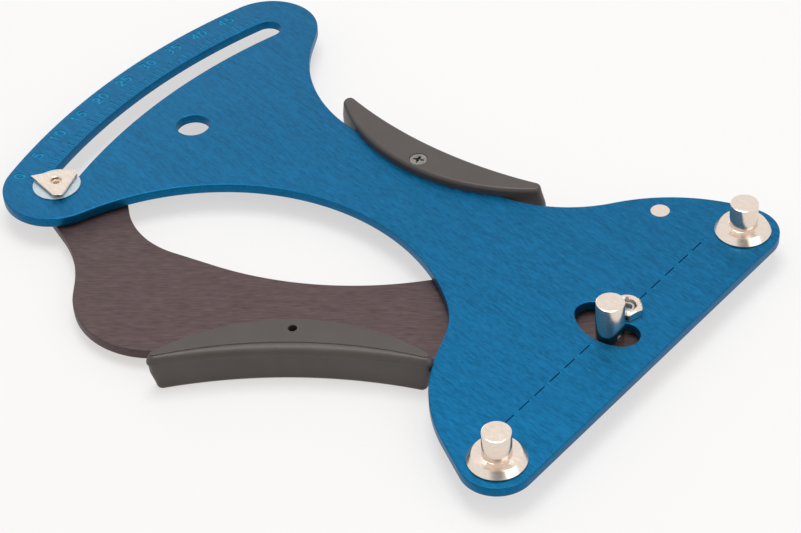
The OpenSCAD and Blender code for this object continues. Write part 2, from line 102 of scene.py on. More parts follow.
def new_node(tree, kind, **values):
    """A new node of this kind with constants on its sockets."""
    return set_sockets(tree.nodes.new(kind), **values)


def spread(tree, value, low, high, start=0.3, end=0.7):
    """A value mapped in a straight line from start..end to low..high, and held past them."""
    node = new_node(tree, "ShaderNodeMapRange", From_Min=start, From_Max=end,
                    To_Min=low, To_Max=high)
    tree.links.new(value, node.inputs["Value"])
    return node.outputs["Result"]


def calculated(tree, operation, first, second):
    """The result of a Math node on two sockets, or on a socket and a constant."""
    node = tree.nodes.new("ShaderNodeMath")
    node.operation = operation
    tree.links.new(first, node.inputs[0])
    if isinstance(second, float):
        node.inputs[1].default_value = second
    else:
        tree.links.new(second, node.inputs[1])
    return node.outputs[0]


def seen_as_it_is(tree):
    """1 for what the camera, a mirror or a clear piece sees, and 0 for light that is thrown:
    the largest of the three kinds of ray."""
    rays = tree.nodes.new("ShaderNodeLightPath").outputs
    seen = calculated(tree, "MAXIMUM", rays["Is Camera Ray"], rays["Is Glossy Ray"])
    return calculated(tree, "MAXIMUM", seen, rays["Is Transmission Ray"])


print("helpers for nodes are ready")

# %% [markdown]
# The tool lies in soft light with white all round. That white is a world that the camera and
# the metal see at full strength, while the light that it throws is half of that, so the lamps
# can shape the pieces. One round patch of it is dim, on the side where the camera stands,
# because the collars and rims mirror a dim place there. The patch depends only on the
# direction: how nearly it points back along the camera's sight line.

# %% World
SKY_THROWN, SKY_SEEN = 0.5, 1.0
PATCH_LIGHT = 0.35
PATCH_EDGE, PATCH_CORE = 30, 10

world = bpy.data.worlds.new("studio")
scene.world = world
world.use_nodes = True
tree = world.node_tree
tree.nodes.clear()
strength = spread(tree, seen_as_it_is(tree), SKY_THROWN, SKY_SEEN, 0, 1)
way = tree.nodes.new("ShaderNodeTexCoord")
nearness = tree.nodes.new("ShaderNodeVectorMath")
nearness.operation = "DOT_PRODUCT"
nearness.inputs[1].default_value = tuple(-sight)
tree.links.new(way.outputs["Generated"], nearness.inputs[0])
patch = spread(tree, nearness.outputs["Value"], 1.0, PATCH_LIGHT,
               np.cos(np.radians(PATCH_EDGE)), np.cos(np.radians(PATCH_CORE)))
sky = new_node(tree, "ShaderNodeBackground", Color=(1, 1, 1, 1))
tree.links.new(calculated(tree, "MULTIPLY", strength, patch), sky.inputs["Strength"])
out = tree.nodes.new("ShaderNodeOutputWorld")
tree.links.new(sky.outputs[0], out.inputs["Surface"])
print("world with a dim patch of", PATCH_EDGE, "degrees round the camera's side")

# %% [markdown]
# The floor is a matt sheet that keeps the shadow. Part of what the camera sees of it is a warm
# white of its own. That lifts it to the tone of paper without any more light on the tool, and
# keeps the shadows warm.

# %% Paper floor
PAPER_GLOW = 0.6
FLOOR_HALF, FLOOR_BELOW = 3.0, 0.0002

paper = bpy.data.materials.new("paper")
paper.use_nodes = True
tree = paper.node_tree
tree.nodes.clear()
matt = new_node(tree, "ShaderNodeBsdfDiffuse", Color=(0.95, 0.98, 1.0, 1))
white = new_node(tree, "ShaderNodeEmission", Color=(1.0, 0.965, 0.94, 1), Strength=1.0)
share = calculated(tree, "MULTIPLY", seen_as_it_is(tree), PAPER_GLOW)
both = tree.nodes.new("ShaderNodeMixShader")
for socket, source in zip(both.inputs, (share, matt.outputs[0], white.outputs[0])):
    tree.links.new(source, socket)
out = tree.nodes.new("ShaderNodeOutputMaterial")
tree.links.new(both.outputs[0], out.inputs["Surface"])

floor_mesh = bpy.data.meshes.new("floor")
corners = np.array([[-1, -1], [1, -1], [1, 1], [-1, 1]]) * FLOOR_HALF
floor_points = np.c_[corners, np.full(4, -FLOOR_BELOW)]
floor_mesh.from_pydata(floor_points.tolist(), [], [[0, 1, 2, 3]])
floor_mesh.materials.append(paper)
floor = bpy.data.objects.new("floor", floor_mesh)
bpy.context.collection.objects.link(floor)
print("floor", 2 * FLOOR_HALF, "m wide")

# %% [markdown]
# Three square lamps shape the tool. The largest share comes from almost straight above and
# gives the soft shadow. A weaker lamp stands to the right, which is the side that the posts
# are lit from. A small one, far off to the left, gives the plate its sheen near the scale.

# %% Lamps
def lamp(name, place, target, size, watts):
    """A square soft lamp at place that shines on target."""
    data = bpy.data.lights.new(name, "AREA")
    data.size = size
    data.energy = watts
    piece = bpy.data.objects.new(name, data)
    piece.location = place
    towards = mathutils.Vector(target) - mathutils.Vector(place)
    piece.rotation_mode = "QUATERNION"
    piece.rotation_quaternion = towards.to_track_quat("-Z", "Y")
    bpy.context.collection.objects.link(piece)


middle = (-0.08, -0.01, 0)
lamp("key", (-0.20, 0.12, 1.0), middle, 0.5, 4.6)
lamp("fill", (0.72, -0.02, 0.6), middle, 0.7, 1.5)
lamp("sheen", (-1.10, 0.60, 0.50), (-0.18, 0, 0), 0.3, 0.5)
print("3 lamps")

# %% [markdown]
# Every outline here is a chain of arcs joined by straight lines that touch both, as a
# pattern maker draws with discs and a ruler. A list of circles is far shorter than a list of
# points, and it stays smooth at any step. A disc with a positive radius lies in the metal,
# and one with a negative radius lies outside and makes a hollow.

# %% Outlines from arcs
def tangent(a, b):
    """Angle of the normal of the line that touches circles a and b: the angle between their
    centres plus the arc cosine of the difference of their radii over their distance."""
    d = b[:2] - a[:2]
    share = np.clip((b[2] - a[2]) / np.hypot(*d), -1, 1)
    return np.arctan2(d[1], d[0]) + np.arccos(share)


def swing(before, arc, after):
    """The angle where an arc starts, at the tangent with the circle before it, and how far it
    turns to the tangent with the next, clockwise if its radius is negative."""
    start, end = tangent(before, arc), tangent(arc, after)
    sense = np.sign(arc[2])
    return start, sense * (((end - start) * sense) % (2 * np.pi))


def on_arc(arc, t):
    """Points of a circle: its centre minus its radius times the unit vector at angle t."""
    return np.c_[arc[0] - arc[2] * np.cos(t), arc[1] - arc[2] * np.sin(t)]


def outline(arcs, step=0.7):
    """Points round a chain of circles, about this step apart on each arc."""
    arcs = [np.array(a, float) for a in arcs]
    parts = []
    for before, arc, after in zip(arcs[-1:] + arcs[:-1], arcs, arcs[1:] + arcs[:1]):
        start, turn = swing(before, arc, after)
        count = max(2, int(np.ceil(abs(arc[2]) * abs(turn) / step)))
        parts.append(on_arc(arc, start + turn * np.linspace(0, 1, count + 1)))
    points = np.vstack(parts)
    gap = np.hypot(*(points - np.roll(points, -1, axis=0)).T)
    return points[gap > 1e-3]


def circle(x, y, r, step=0.35):
    """Points round a circle, anticlockwise."""
    t = np.linspace(0, 2 * np.pi, max(24, int(2 * np.pi * r / step)), endpoint=False)
    return np.c_[x + r * np.cos(t), y + r * np.sin(t)]


def polar(r, degrees):
    """The point at this radius and angle."""
    return r * np.cos(np.radians(degrees)), r * np.sin(np.radians(degrees))


print("a disc of 5 mm radius has", len(circle(0, 0, 5)), "points")

# %% [markdown]
# Three helpers go with the outlines. A slot of even width along an arc is itself four arcs. A
# nestled circle fills the corner between two others at a given small gap. Everything on the
# arm is drawn with the pointer on the -X axis, and then turned by the rest angle.

# %% Slots, nestled circles and turns
def bent_slot(r, width, start, end):
    """A slot of even width along the arc of radius r: two end circles, the outer circle and
    the inner circle, each touching the next."""
    return outline([(*polar(r, start), width / 2), (0, 0, r + width / 2),
                    (*polar(r, end), width / 2), (0, 0, width / 2 - r)])


def nestled(a, b, r, gap_a=0.0, gap_b=0.0):
    """The circle of radius r to the right of the way from circle a to circle b, where the
    circles of radius |ra - r| + gap_a and |rb - r| + gap_b about their centres cross."""
    a, b = np.array(a, float), np.array(b, float)
    reach_a, reach_b = abs(a[2] - r) + gap_a, abs(b[2] - r) + gap_b
    way = b[:2] - a[:2]
    n = np.hypot(*way)
    along = (n * n + reach_a ** 2 - reach_b ** 2) / (2 * n)
    aside = np.sqrt(reach_a ** 2 - along ** 2)
    x, y = a[:2] + (along * way + aside * np.array([way[1], -way[0]])) / n
    return x, y, r


def turned_by(points, degrees):
    """The points turned about the pivot."""
    c, s = polar(1, degrees)
    return points @ np.array([[c, s], [-s, c]])


print("a nestled circle, as a check:", np.round(nestled((0, 0, 5), (20, 0, 5), -6), 2))

# %% [markdown]
# A plate is a flat top and bottom with a rounded rim round its outline and round each hole.
# A rim is a small profile carried along the loop, which is a surface of two parameters: how
# far along the loop, and how far down the edge.

# %% Rims
def inwards(loop):
    """Unit vectors to the left of the way round, from the chord between the two neighbours."""
    way = np.roll(loop, -1, axis=0) - np.roll(loop, 1, axis=0)
    way = way / np.linalg.norm(way, axis=1)[:, None]
    return np.c_[-way[:, 1], way[:, 0]]


def edge_profile(top, bottom, soft):
    """Inset and height from the top face round a quarter circle, down and round another."""
    t = np.linspace(0, np.pi / 2, 5)
    inset = soft * (1 - np.sin(t))
    drop = soft * (1 - np.cos(t))
    return np.r_[inset, inset[::-1]], np.r_[top - drop, bottom + drop[::-1]]


def grid_faces(rows, columns):
    """Quads of a grid of points whose rows are rings, one index sum for the whole grid."""
    i, j = np.meshgrid(np.arange(rows - 1), np.arange(columns), indexing="ij")
    k = (j + 1) % columns
    quads = [i * columns + j, i * columns + k, (i + 1) * columns + k, (i + 1) * columns + j]
    return np.stack(quads, axis=-1).reshape(-1, 4)


def rim(loop, insets, heights):
    """Rings at each inset and height of the profile, carried along the loop."""
    side = inwards(loop)
    rings = loop[None] + insets[:, None, None] * side[None]
    z = np.broadcast_to(heights[:, None, None], rings.shape[:2] + (1,))
    points = np.concatenate([rings, z], axis=2).reshape(-1, 3)
    return points, grid_faces(len(insets), len(loop))


print("a rim's insets and heights:", *np.round(edge_profile(3.0, 0.0, 0.3), 2).tolist())

# %% [markdown]
# The flat faces are filled with triangles between all the loops. Stamped lines are closed
# loops in the top face too: what lies inside them is dropped by the depth of the stamp, and a
# wall is put round it.

# %% Flat faces and stamps
def inside(points, loop):
    """Which points lie in the loop: a level line from each crosses it an odd number of times."""
    x, y = points[:, :1], points[:, 1:2]
    a, b = loop, np.roll(loop, -1, axis=0)
    spans = (a[:, 1] > y) != (b[:, 1] > y)
    rise = np.where(a[:, 1] == b[:, 1], 1e-9, b[:, 1] - a[:, 1])
    cut = a[:, 0] + (y - a[:, 1]) * (b[:, 0] - a[:, 0]) / rise
    return (spans & (x < cut)).sum(axis=1) % 2 == 1


def flat_face(outer, holes, height, stamps=(), depths=()):
    """Triangles of the region inside outer and outside the holes. Inside a stamp's loop they
    lie lower by its depth, and a wall joins each edge between the two levels."""
    loops = [outer, *holes, *stamps]
    starts = np.cumsum([0] + [len(loop) for loop in loops[:-1]])
    turns = [np.arange(len(loop)) for loop in loops]
    edges = np.vstack([np.c_[s + k, s + (k + 1) % len(k)] for s, k in zip(starts, turns)])
    flat = [mathutils.Vector(p) for p in np.vstack(loops).tolist()]
    found = mathutils.geometry.delaunay_2d_cdt(flat, edges.tolist(), [], 0, 1e-5)
    points = np.array([v[:] for v in found[0]])
    faces = np.array(found[2])
    centres = points[faces].mean(axis=1)
    keep = inside(centres, outer)
    for hole in holes:
        keep &= ~inside(centres, hole)
    faces, centres = faces[keep], centres[keep]
    sink = np.zeros(len(faces))
    for stamp, depth in zip(stamps, depths):
        apart = np.abs(centres - stamp.mean(axis=0))
        near = (apart < np.ptp(stamp, axis=0).max()).all(axis=1)
        sink[near] = np.where(inside(centres[near], stamp), depth, sink[near])
    count = len(points)
    drop = np.zeros((count, 3))
    walls = np.zeros((0, 4), int)
    low = sink > 0
    if low.any():
        drop[faces[low].ravel(), 2] = np.repeat(sink[low], 3)
        ends = np.stack([faces, np.roll(faces, -1, axis=1)], axis=-1).reshape(-1, 2)
        sunk = np.repeat(low, 3)
        other_way = ends[~sunk][:, ::-1] @ [1, count]
        rims = ends[sunk][np.isin(ends[sunk] @ [1, count], other_way)]
        walls = np.c_[rims[:, 0], rims[:, 1], rims[:, 1] + count, rims[:, 0] + count]
        faces = faces + count * low[:, None]
    top = np.c_[points, np.full(count, height)]
    return np.vstack([top, top - drop]), [*faces.tolist(), *walls.tolist()]


print("a flat disc has", len(flat_face(circle(0, 0, 5), [], 0.0)[1]), "triangles")

# %% [markdown]
# All pieces become mesh objects in the same way. The parts of a surface are joined where
# their points meet, the faces are turned outwards, the piece is tied to its body and gets its
# finish, and the CAD nodes that it stands for are hidden.

# %% From arrays to pieces
MERGE = 1e-4
SHARP_ANGLE = 38


def joined(*parts):
    """One list of points and one of faces from several."""
    points, faces, start = [], [], 0
    for p, f in parts:
        points.append(p)
        rows = f.tolist() if isinstance(f, np.ndarray) else f
        faces += [[i + start for i in face] for face in rows]
        start += len(p)
    return np.vstack(points), faces


def make_piece(name, parts, material, body, stands_for=(), flat_above=None):
    """A mesh object from arrays in millimetres. Level faces of plates are shaded flat."""
    points, faces = joined(*parts)
    mesh = bpy.data.meshes.new(name)
    mesh.from_pydata((points * MM).tolist(), [], faces)
    work = bmesh.new()
    work.from_mesh(mesh)
    bmesh.ops.remove_doubles(work, verts=work.verts, dist=MERGE * MM)
    loose = [v for v in work.verts if not v.link_faces]
    bmesh.ops.delete(work, geom=loose, context="VERTS")
    bmesh.ops.recalc_face_normals(work, faces=work.faces)
    open_edges = sum(1 for e in work.edges if len(e.link_faces) != 2)
    work.to_mesh(mesh)
    work.free()
    mesh.shade_smooth()
    mesh.set_sharp_from_angle(angle=np.radians(SHARP_ANGLE))
    if flat_above is not None:
        up_part = np.zeros(len(mesh.polygons) * 3)
        mesh.polygons.foreach_get("normal", up_part)
        mesh.polygons.foreach_set("use_smooth", np.abs(up_part[2::3]) < flat_above)
    mesh.materials.append(material)
    piece = bpy.data.objects.new(name, mesh)
    bpy.context.collection.objects.link(piece)
    if body:
        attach(piece, body)
    if stands_for:
        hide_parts(*stands_for)
    print(f"{name}: {len(mesh.polygons)} faces, {open_edges} open edges")
    return piece


print("pieces are drawn in mm and made in metres")

# %% [markdown]
# Finishes. The plates are aluminium that was brushed in one direction and then anodised, so
# the dye follows fine scratches. These helpers make a noise that is stretched along the grain
# in real size, and lead it to the tint and to a very small relief. The grain is turned with a
# Mapping node, as the blanks weren't cut along the tool's axis.

# %% Grain, tint and relief
def grain(tree, degrees, along, across, detail=2.0):
    """A noise turned by degrees whose cells are 1/along long and 1/across wide, in metres."""
    place = tree.nodes.new("ShaderNodeTexCoord")
    turn = tree.nodes.new("ShaderNodeMapping")
    turn.vector_type = "TEXTURE"
    set_sockets(turn, Rotation=(0, 0, np.radians(degrees)),
                Scale=(1 / along, 1 / across, 1 / across))
    noise = new_node(tree, "ShaderNodeTexNoise", Scale=1.0, Detail=detail, Roughness=0.6)
    tree.links.new(place.outputs["Object"], turn.inputs["Vector"])
    tree.links.new(turn.outputs["Vector"], noise.inputs["Vector"])
    return noise.outputs["Fac"]


def tint(tree, factor, dark, light):
    """A colour between dark and light."""
    ramp = tree.nodes.new("ShaderNodeValToRGB")
    ramp.color_ramp.elements[0].color = (*dark, 1)
    ramp.color_ramp.elements[1].color = (*light, 1)
    tree.links.new(factor, ramp.inputs["Fac"])
    return ramp.outputs["Color"]


def shader(name, **values):
    """A material with one Principled shader, and its tree and shader for the rest."""
    material = bpy.data.materials.new(name)
    material.use_nodes = True
    tree = material.node_tree
    return material, tree, set_sockets(tree.nodes["Principled BSDF"], **values)


def bump(tree, skin, value, height, distance):
    """Fine relief from a value: height between 0 and 1 of the distance in metres."""
    node = new_node(tree, "ShaderNodeBump", Strength=height, Distance=distance)
    tree.links.new(value, node.inputs["Height"])
    tree.links.new(node.outputs["Normal"], skin.inputs["Normal"])


print("helpers for finishes are ready")

# %% [markdown]
# The stamped marks get painted light. A mark is known by where its floor lies, so the colour
# is laid on by height: what faces up and lies a little under the plate's top is a mark. The
# shallow marks get a painted highlight in light cyan, and the deep dashes get painted shade.

# %% Painted highlight and shade in the stamped marks
def sunk(tree, higher, lower):
    """1 on level faces of the piece below the height higher, 0 above it, in metres: a ramp
    of the height times a ramp of how nearly the face looks up."""
    place = tree.nodes.new("ShaderNodeTexCoord")
    height = tree.nodes.new("ShaderNodeSeparateXYZ")
    facing = tree.nodes.new("ShaderNodeSeparateXYZ")
    tree.links.new(place.outputs["Object"], height.inputs[0])
    tree.links.new(place.outputs["Normal"], facing.inputs[0])
    below = spread(tree, height.outputs["Z"], 1, 0, lower, higher)
    level = spread(tree, facing.outputs["Z"], 0, 1, 0.98, 0.99)
    return calculated(tree, "MULTIPLY", below, level)


def over(tree, share, under, colour):
    """The colour laid over another by this share."""
    node = tree.nodes.new("ShaderNodeMix")
    node.data_type = "RGBA"
    node.inputs["B"].default_value = (*colour, 1)
    tree.links.new(share, node.inputs["Factor"])
    tree.links.new(under, node.inputs["A"])
    return node.outputs["Result"]


print("helpers for marks are ready")

# %% [markdown]
# Both plates get one brushed finish in two colours. The noise drives the tint, the gloss and
# the bump together, as a scratch does. The tint comes partly from the dye, so the shader
# isn't fully metal. Longer and broader streaks are blended in, as no brush is even.

# %% Brushed and anodised aluminium
LONG_STREAKS = (70, 900)
LONG_SHARE = 0.3


def brushed(name, dark, light, degrees, cells, metallic, gloss, stamped=()):
    """Anodised aluminium with its grain at this angle. Cells says how many streaks lie in a
    metre along and across the grain, gloss gives the least and the most roughness, and
    stamped gives the heights in metres of each kind of mark and the colour painted on its
    floor: a painted highlight on the shallow marks, painted shade in the deep ones."""
    material, tree, skin = shader(name, Metallic=metallic, IOR=1.5, Specular_IOR_Level=0.2)
    streaks = grain(tree, degrees, *cells)
    blend = new_node(tree, "ShaderNodeMix", Factor=LONG_SHARE)
    tree.links.new(streaks, blend.inputs["A"])
    tree.links.new(grain(tree, degrees, *LONG_STREAKS), blend.inputs["B"])
    colour = tint(tree, spread(tree, blend.outputs["Result"], 0, 1, 0.34, 0.66), dark, light)
    # Painted highlight and painted shade are laid over the tint on the floors of the marks.
    for higher, lower, mark in stamped:
        colour = over(tree, sunk(tree, higher, lower), colour, mark)
    tree.links.new(colour, skin.inputs["Base Color"])
    tree.links.new(spread(tree, streaks, *gloss), skin.inputs["Roughness"])
    bump(tree, skin, streaks, 0.25, 0.00004)
    return material


# Painted highlight on the floors of the shallow marks, painted shade on those of the deep dashes.
MARK_HIGHLIGHT_AND_SHADE = (
    (9.36 * MM, 9.32 * MM, (0.0, 0.23, 0.42)),
    (9.25 * MM, 9.22 * MM, (0.0, 0.04, 0.11)))
blue_anodised = brushed(
    "blue_anodised", (0.001, 0.088, 0.200), (0.004, 0.144, 0.318), degrees=-8,
    cells=(480, 2600), metallic=0.8, gloss=(0.33, 0.46), stamped=MARK_HIGHLIGHT_AND_SHADE)
dark_anodised = brushed(
    "dark_anodised", (0.070, 0.045, 0.045), (0.125, 0.086, 0.086), degrees=36,
    cells=(280, 3600), metallic=0.6, gloss=(0.42, 0.54))
print("brushed finishes:", blue_anodised.name, dark_anodised.name)

# %% [markdown]
# The bright hardware is steel with nickel plate, turned on a lathe. The other metals are
# zinc-plated steel, drawn spring wire and bronze. The grips are a satin moulded plastic with
# a fine spark-eroded grain, and the slide washers are natural nylon, which lets a little
# light in. Each gets its own fine texture in real size.

# %% Plated metals, wire and bronze
def plain_metal(name, dark, light, gloss, cells, relief=0.12):
    """A plated or drawn metal with fine mottling in tint and gloss: cells in a metre, and
    twice as long as wide."""
    material, tree, skin = shader(name, Metallic=1.0)
    mottle = grain(tree, 0, cells * 0.5, cells, 3.0)
    tree.links.new(tint(tree, spread(tree, mottle, 0, 1), dark, light), skin.inputs["Base Color"])
    tree.links.new(spread(tree, mottle, *gloss), skin.inputs["Roughness"])
    bump(tree, skin, mottle, relief, 0.00003)
    return material


plated_steel = plain_metal(
    "plated_steel", (0.76, 0.65, 0.56), (0.82, 0.71, 0.62), (0.15, 0.22), 1200, 0.02)
worn_plate = plain_metal(
    "worn_plate", (0.20, 0.19, 0.17), (0.30, 0.285, 0.26), (0.34, 0.46), 1500, 0.05)
dull_steel = plain_metal(
    "dull_steel", (0.34, 0.34, 0.34), (0.48, 0.48, 0.47), (0.34, 0.5), 1500)
spring_wire = plain_metal(
    "spring_wire", (0.36, 0.36, 0.37), (0.52, 0.52, 0.52), (0.25, 0.4), 3000)
bronze = plain_metal("bronze", (0.42, 0.26, 0.12), (0.58, 0.39, 0.2), (0.35, 0.5), 1800)
print("5 plain metals")

# %% Grip plastic and nylon
grip_plastic, tree, skin = shader("grip_plastic", IOR=1.5)
pores = grain(tree, 0, 4200, 4200)
cast = spread(tree, grain(tree, 0, 60, 60), 0, 1)
tree.links.new(tint(tree, cast, (0.054, 0.041, 0.035), (0.072, 0.056, 0.049)),
               skin.inputs["Base Color"])
tree.links.new(spread(tree, pores, 0.36, 0.5), skin.inputs["Roughness"])
bump(tree, skin, pores, 0.35, 0.00004)

nylon, tree, skin = shader("nylon", Roughness=0.35, IOR=1.53, Subsurface_Weight=0.25,
                           Subsurface_Scale=0.001)
cloud = spread(tree, grain(tree, 0, 500, 500), 0, 1)
tree.links.new(tint(tree, cloud, (0.56, 0.66, 0.74), (0.64, 0.73, 0.80)),
               skin.inputs["Base Color"])
print("moulded finishes:", grip_plastic.name, nylon.name)

# %% [markdown]
# The face plate. Its outline, slot, window and holes are the CAD's own, in millimetres: it is
# a belt of lobes and hollows round the two fixed posts and the two ends of the scale. The
# sizes that both plates share come first.

# %% Sizes of the plates
FOOT = 2.6
PLATE = 3.0
GAP = 0.8
ARM_TOP = FOOT + PLATE
FACE_LOW = ARM_TOP + GAP
FACE_TOP = FACE_LOW + PLATE
SLOT_R = 176.2
SLOT_W = 8.4
REST = 18.0
SQUEEZE = 14.0
NEAR_POST = np.array([6.35, -66.0])
FAR_POST = np.array([6.35, 47.6])
MARGIN = 10.4
UPPER_GRIP = np.array([-86.6, 16.2])
ANCHOR = np.array([-17.4, 41.0])
POINTER = np.array([-SLOT_R, 0.0])
MOVING_POST = np.array(polar(9.2, -102.4))
EAR_R, EAR_AT = 15, 42
EAR = np.array(polar(EAR_R, EAR_AT))
LOWER_GRIP = np.array([-82.85, -38.2])
LOBE = 16.1
FILLET_R, FILLET_Y = 54, 72

near_end, far_end = (*NEAR_POST, MARGIN), (*FAR_POST, MARGIN)
high_corner = (*polar(SLOT_R, 180 - SQUEEZE), LOBE)
low_corner = (*polar(SLOT_R, 180 + REST), LOBE)
far_waist, near_waist = (-64.4, 60.7, -42), (-59.7, -48, -28)
fillet_x = high_corner[0] + np.sqrt(
    (FILLET_R + LOBE + 0.3) ** 2 - (FILLET_Y - high_corner[1]) ** 2)

FACE_ARCS = [
    near_end, far_end, nestled(far_waist, far_end, 55), far_waist,
    (fillet_x, FILLET_Y, -FILLET_R), high_corner, (0, 0, SLOT_R + LOBE), low_corner,
    nestled(low_corner, near_waist, -70, 0.1), near_waist,
    nestled(near_end, near_waist, 50, 1.9, 0.2)]
face_outline = outline(FACE_ARCS)
print("face plate:", len(face_outline), "points,", np.ptp(face_outline, axis=0).round(1), "mm")

# %% [markdown]
# The scale is stamped: one short line for each unit, a longer one at every fifth, and a number
# at each of those. Stamped digits are strokes of even width, so each one is drawn as a few
# lines and arcs in a box of width 1 and height 1, and widened.

# %% Digits as strokes
def bow(x, y, rx, ry, start, end):
    """An arc of an ellipse in the digit's box, with a point every 20 degrees or so."""
    t = np.radians(np.linspace(start, end, int(abs(end - start) / 20) + 2))
    return np.c_[x + rx * np.cos(t), y + ry * np.sin(t)]


def stroke(*corners):
    """A straight stroke from point to point of the digit's box."""
    return np.array(corners, float)


STROKES = {
    "0": [bow(0.5, 0.5, 0.5, 0.5, 80, 280), bow(0.5, 0.5, 0.5, 0.5, 100, -100)],
    "1": [stroke([0.2, 0.76], [0.56, 1.0]), stroke([0.56, 1.0], [0.56, 0.0])],
    "2": [np.vstack([bow(0.5, 0.7, 0.48, 0.3, 165, -25), [[0.04, 0.03]]]),
          stroke([0, 0], [1, 0])],
    "3": [bow(0.46, 0.76, 0.44, 0.24, 150, -95), bow(0.46, 0.27, 0.5, 0.27, 95, -150)],
    "4": [stroke([0.74, 0], [0.74, 1]), stroke([0.74, 1], [0, 0.3]),
          stroke([0, 0.3], [1, 0.3])],
    "5": [stroke([0.9, 1], [0.15, 1]), stroke([0.15, 1], [0.09, 0.55]),
          bow(0.46, 0.33, 0.5, 0.33, 138, -150)],
}


def widened(path, half):
    """The loop round a path of even half width: left side, round end, right side, round end."""
    way = np.gradient(path, axis=0)
    way = way / np.linalg.norm(way, axis=1)[:, None]
    side = np.c_[-way[:, 1], way[:, 0]] * half
    t = np.linspace(0, np.pi, 6)[1:-1]
    head = path[-1] + np.outer(np.cos(t), side[-1]) + np.outer(np.sin(t), way[-1] * half)
    tail = path[0] - np.outer(np.cos(t), side[0]) - np.outer(np.sin(t), way[0] * half)
    return np.vstack([path + side, head, (path - side)[::-1], tail])[::-1]


def placed_on_scale(points, r, degrees):
    """Text coordinates put on the scale: x runs with the numbers and y points outwards."""
    out, along = np.array(polar(1, degrees)), np.array(polar(1, degrees - 90))
    return r * out + points[:, :1] * along + points[:, 1:] * out


def number(text, r, degrees, width=1.9, height=3.1, space=2.9, half=0.3):
    """The stroke loops of a number centred at this place on the scale."""
    loops = []
    for i, digit in enumerate(text):
        shift = (i - (len(text) - 1) / 2) * space
        for path in STROKES[digit]:
            box = (path - 0.5) * [width, height] + [shift, 0]
            loops.append(placed_on_scale(widened(box, half), r, degrees))
    return loops


print("digits drawn:", *STROKES)

# %% [markdown]
# The marks are put in their places. The scale's zero and the angle of one unit are read along
# the slot. The fine dashed line shows where the spoke lies, with a dash of painted shade and
# two small flecks of painted highlight in each repeat. The place under the hanging hole is bare.

# %% Marks on the face plate
UNITS = 50
ZERO, UNIT = 197.95, 0.6558
TICK_IN, NUMBERS_R = 181.3, 188.8
LONG_TICK, SHORT_TICK, TICK_HALF = 3.9, 2.5, 0.21
# Depths of the two kinds of stamp: the plate's material paints a highlight on the shallow floors
# and shade on the deep ones.
LIGHT_MARK, DARK_MARK = 0.1, 0.2
marks = []
for unit in range(UNITS):
    tick = np.array([[0.0, 0.0], [0.0, SHORT_TICK if unit % 5 else LONG_TICK]])
    marks.append(placed_on_scale(widened(tick, TICK_HALF), TICK_IN, ZERO - UNIT * unit))
for unit in range(0, UNITS, 5):
    marks += number(str(unit), NUMBERS_R, ZERO - UNIT * unit)
depths = [LIGHT_MARK] * len(marks)

SPOKE_X, DASH_HALF = -0.1, 0.19
REPEAT, DASH, FLECK = 6.7, 4.1, 0.55
AFTER_DASH, BEFORE_NEXT = 0.4, 0.3
for start, end in ((-75.2, -74.2), (-61.6, -14.6), (5.2, 38.0)):
    for at in np.arange(start, end - 1, REPEAT):
        fleck, last_fleck = at + DASH + AFTER_DASH, at + REPEAT - BEFORE_NEXT
        for low, high, depth in ((at, at + DASH, DARK_MARK),
                                 (fleck, fleck + FLECK, LIGHT_MARK),
                                 (last_fleck - FLECK, last_fleck, LIGHT_MARK)):
            if high < end + DASH:
                dash = np.array([[SPOKE_X, low], [SPOKE_X, high]])
                marks.append(widened(dash, DASH_HALF))
                depths.append(depth)
print(len(marks), "stamped strokes")

# %% [markdown]
# Now the plate itself. The seats of the posts, the nut and the anchor are plain holes that
# those pieces fill, so they get no soft rim.

# %% Face plate
SOFT = 0.3
FLAT = 0.999
POST_SEAT = 3.05
window = bent_slot(9.6, 9.4, -138, -61)
slot = bent_slot(SLOT_R, SLOT_W, 180 - SQUEEZE, 180 + REST)
hanging_hole = circle(-155, -9, 5.0)
seats = [circle(*NEAR_POST, POST_SEAT), circle(*FAR_POST, POST_SEAT), circle(0, 0, 2.55),
         circle(*ANCHOR, 2.8)]


def plate(outer, holes, seats, top, bottom, soft, stamps=(), depths=()):
    """Rims round the outline and the holes, straight walls in the seats, and both flat faces."""
    insets, heights = edge_profile(top, bottom, soft)
    parts, upper, lower = [], [], []
    for loop in [outer] + [hole[::-1] for hole in holes]:
        points, faces = rim(loop, insets, heights)
        parts.append((points, faces))
        upper.append(points[:len(loop), :2])
        lower.append(points[-len(loop):, :2])
    for seat in seats:
        parts.append(rim(seat[::-1], np.zeros(2), np.array([top, bottom])))
        upper.append(seat)
        lower.append(seat)
    parts.append(flat_face(upper[0], upper[1:], top, stamps, depths))
    parts.append(flat_face(lower[0], lower[1:], bottom))
    return parts


face_parts = plate(face_outline, [window, slot, hanging_hole], seats, FACE_TOP, FACE_LOW, SOFT,
                   marks, depths)
make_piece("blue_plate", face_parts, blue_anodised, "frame", ["face_plate"],
           flat_above=FLAT)

# %% [markdown]
# The arm plate lies under the face plate and turns on the bush. In its own frame the pointer
# is on the -X axis, and the whole plate is turned by the rest angle. Its surface is drawn with
# the same functions as the face plate's, so the two edges look alike.

